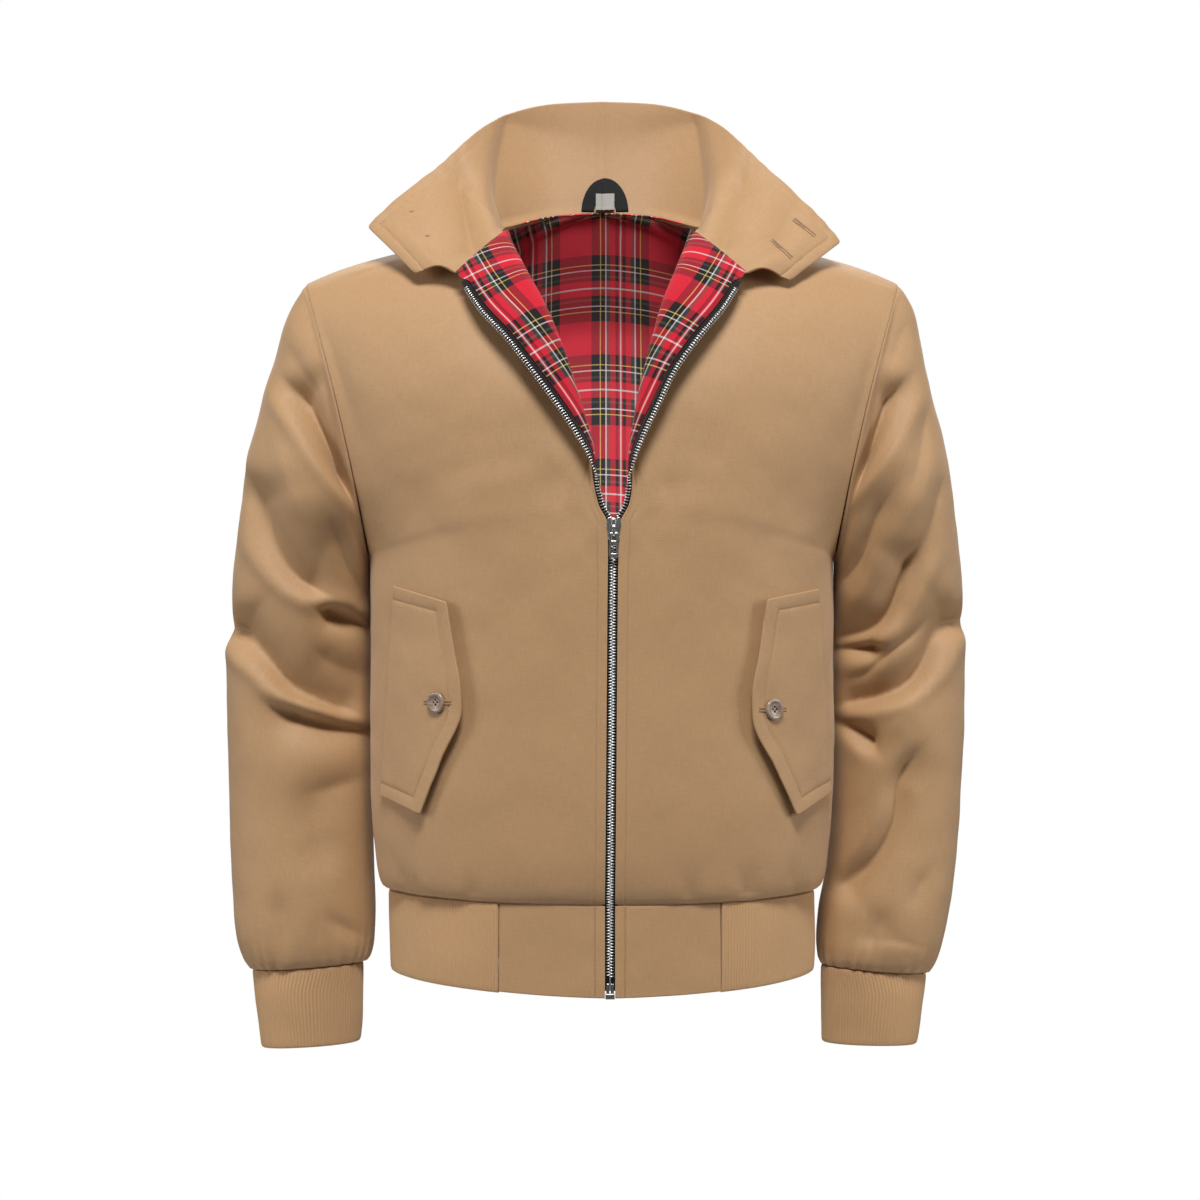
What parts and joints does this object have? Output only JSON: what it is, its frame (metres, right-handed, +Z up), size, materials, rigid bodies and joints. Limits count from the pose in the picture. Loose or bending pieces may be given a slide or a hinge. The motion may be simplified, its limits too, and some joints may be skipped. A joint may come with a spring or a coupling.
{
  "type": "harrington jacket",
  "caption": "Zipped waist-length blouson jacket with stand collar, buttoned pocket flaps, ribbed cuffs and hem band and a checked lining.",
  "frame": {"origin": "centre of the neck, level with the inner ends of the shoulder seams, where the wearer's shoulders carry the jacket", "axes": "+X towards the wearer's left, -Y out of the front, +Z up the wearer's back"},
  "size_m": [0.6404, 0.285, 0.8273],
  "materials": {
    "tan_poplin": "smooth woven poplin, slight sheen",
    "tan_rib_knit": "matt rib knit",
    "checked_lining": "matt brushed check",
    "black_tape": "matt woven tape",
    "grey_label": "satin woven label",
    "nickel_zip": "polished",
    "horn_button": "satin"
  },
  "bodies": {
    "jacket": {"front_left": "tan_poplin", "front_right": "tan_poplin", "back": "tan_poplin", "sleeve_left": "tan_poplin", "sleeve_right": "tan_poplin", "cuff_left": "tan_rib_knit", "cuff_right": "tan_rib_knit", "band_rib": "tan_rib_knit", "band_tab_left": "tan_poplin", "band_tab_right": "tan_poplin", "collar": "tan_poplin", "lining_front_left": "checked_lining", "lining_front_right": "checked_lining", "lining_back": "checked_lining", "zip_tape_left": "black_tape", "zip_tape_right": "black_tape", "zip_slider": "nickel_zip", "zip_box": "nickel_zip", "pocket_flap_left": "tan_poplin", "pocket_flap_right": "tan_poplin", "flap_button_left": "horn_button", "flap_button_right": "horn_button", "collar_button_1": "horn_button", "collar_button_2": "horn_button", "hanger_loop": "black_tape", "neck_label": "grey_label"},
    "zip_pull": {"zip_pull": "nickel_zip"}
  },
  "joints": [
    {"name": "pull_hinge", "type": "hinge", "parent": "jacket", "child": "zip_pull", "pos_m": [0.0096, -0.1412, -0.2854], "axis": [-1, 0, 0], "range_deg": [0, 140]}
  ]
}
